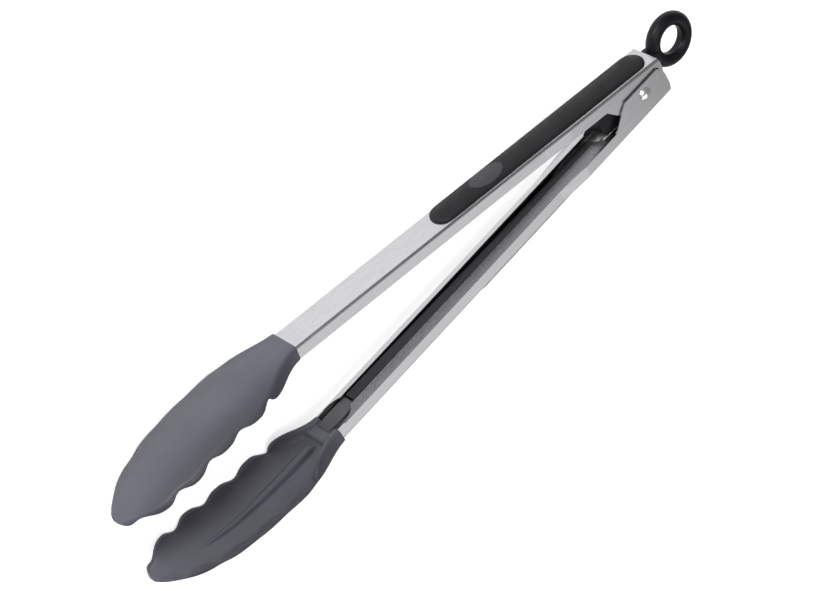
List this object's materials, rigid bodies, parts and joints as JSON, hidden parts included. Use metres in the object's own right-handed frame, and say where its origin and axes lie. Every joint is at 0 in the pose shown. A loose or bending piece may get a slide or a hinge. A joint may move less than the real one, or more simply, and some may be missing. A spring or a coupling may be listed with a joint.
{
  "type": "kitchen tongs",
  "caption": "Spring loaded kitchen tongs: two steel channel arms on one rivet, soft grips, scalloped silicone heads and a pull ring that slides the lock.",
  "frame": {"origin": "bottom centre of the bounding box, with the tongs lying on one side and open as the spring leaves them", "axes": "+X along the middle line to the jaws, +Y to the outer arm, +Z along the pivot"},
  "size_m": [0.341, 0.0624, 0.039],
  "materials": {
    "steel": "satin, brushed along the arms",
    "grip_rubber": "soft matt moulded",
    "spot_rubber": "soft matt, one shade lighter",
    "black_plastic": "fine moulded satin",
    "grey_nylon": "satin moulded",
    "silicone": "smooth matt silicone"
  },
  "bodies": {
    "outer_side": {"outer_arm": "steel", "outer_grip": "grip_rubber", "outer_thumb_spot": "spot_rubber", "outer_liner": "black_plastic", "outer_head_core": "grey_nylon", "outer_jaw": "silicone", "pivot_rivet": "steel", "spring_bush": "black_plastic", "torsion_spring": "steel"},
    "inner_side": {"inner_arm": "steel", "inner_grip": "grip_rubber", "inner_thumb_spot": "spot_rubber", "inner_liner": "black_plastic", "inner_head_core": "grey_nylon", "inner_jaw": "silicone"},
    "lock": {"lock_slider": "steel", "lock_block": "black_plastic", "pull_ring": "black_plastic"}
  },
  "joints": [
    {"name": "jaw_pivot", "type": "hinge", "parent": "outer_side", "child": "inner_side", "pos_m": [-0.13011, 0, 0.0195], "axis": [0, 0, 1], "range_deg": [0, 6], "stiffness_Nm_per_rad": 0.4, "springref_deg": -57.3, "deforming": ["torsion_spring"]},
    {"name": "lock_slide", "type": "slide", "parent": "inner_side", "child": "lock", "axis": [-0.9958, 0.0912, 0], "range_m": [0, 0.008]}
  ]
}
